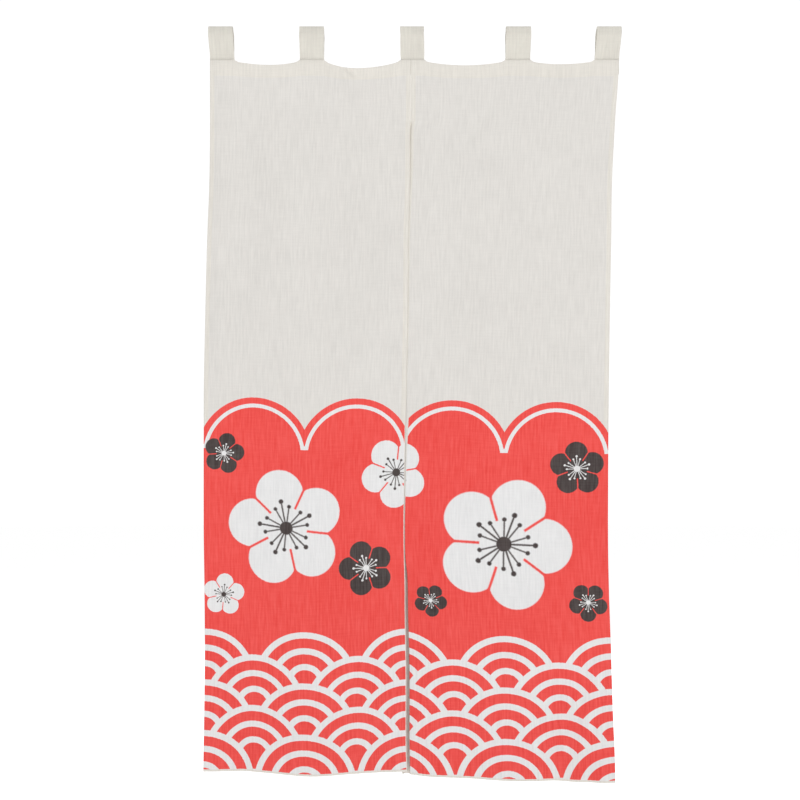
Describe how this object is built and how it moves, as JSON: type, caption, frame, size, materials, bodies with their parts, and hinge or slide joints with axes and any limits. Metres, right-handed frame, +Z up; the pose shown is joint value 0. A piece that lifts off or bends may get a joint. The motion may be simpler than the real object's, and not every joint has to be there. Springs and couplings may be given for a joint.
{
  "type": "noren curtain",
  "caption": "Split door curtain of two hemmed cotton panels, sewn together at the top and open below, hung from a rod by cloth loops, with a printed lower half.",
  "frame": {"origin": "on the line where the insides of the loops rest on the top of the rod, beside the seam between the panels", "axes": "+Z up, +X along the rod to the viewer's right, -Y towards the viewer in front of the printed face"},
  "size_m": [0.8715, 0.0334, 1.5762],
  "materials": {
    "panel_cotton": "plain-woven slub cotton, off-white above and printed in red, white and brown-black below",
    "loop_cotton": "plain-woven slub cotton, off-white"
  },
  "bodies": {
    "root": {"panel_left": "panel_cotton", "panel_right": "panel_cotton", "loop_1": "loop_cotton", "loop_2": "loop_cotton", "loop_3": "loop_cotton", "loop_4": "loop_cotton", "loop_5": "loop_cotton"}
  },
  "joints": []
}
